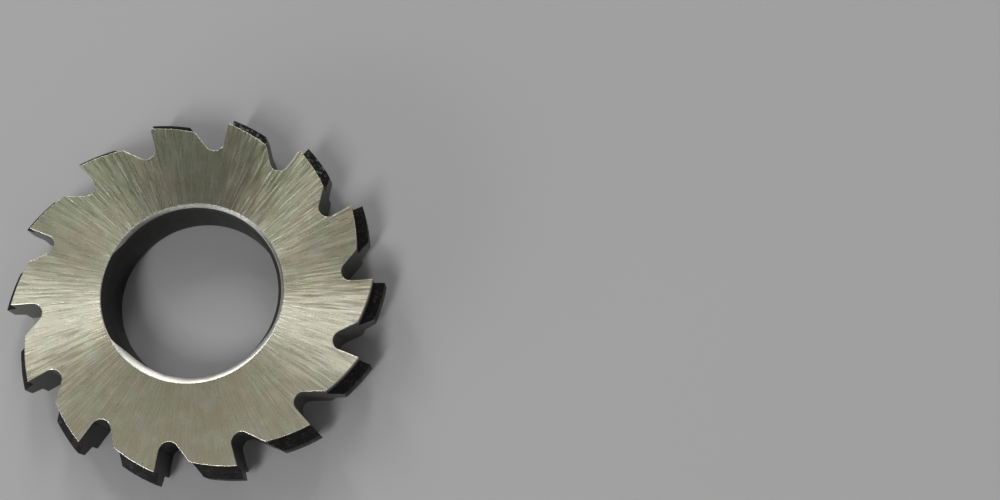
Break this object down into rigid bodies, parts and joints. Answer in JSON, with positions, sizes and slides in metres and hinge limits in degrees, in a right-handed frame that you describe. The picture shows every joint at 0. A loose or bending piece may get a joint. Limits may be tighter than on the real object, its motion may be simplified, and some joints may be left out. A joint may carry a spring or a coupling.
{
  "type": "arbor milling cutter",
  "caption": "Thick ring-shaped cutter for a milling arbor: flat ground sides, a plain round bore and relieved teeth with a raised band along the middle of the rim.",
  "frame": {"origin": "on the bore axis, in the plane of the lower side face", "axes": "+Z along the bore axis. Seen from +Z the cutting edges look counter-clockwise, and one rake face lies in the XZ plane at +X"},
  "size_m": [0.036, 0.035, 0.006],
  "materials": {
    "cutter_steel": "ground side faces, dark teeth and bore"
  },
  "bodies": {
    "root": {"milling_cutter": "cutter_steel"}
  },
  "joints": []
}
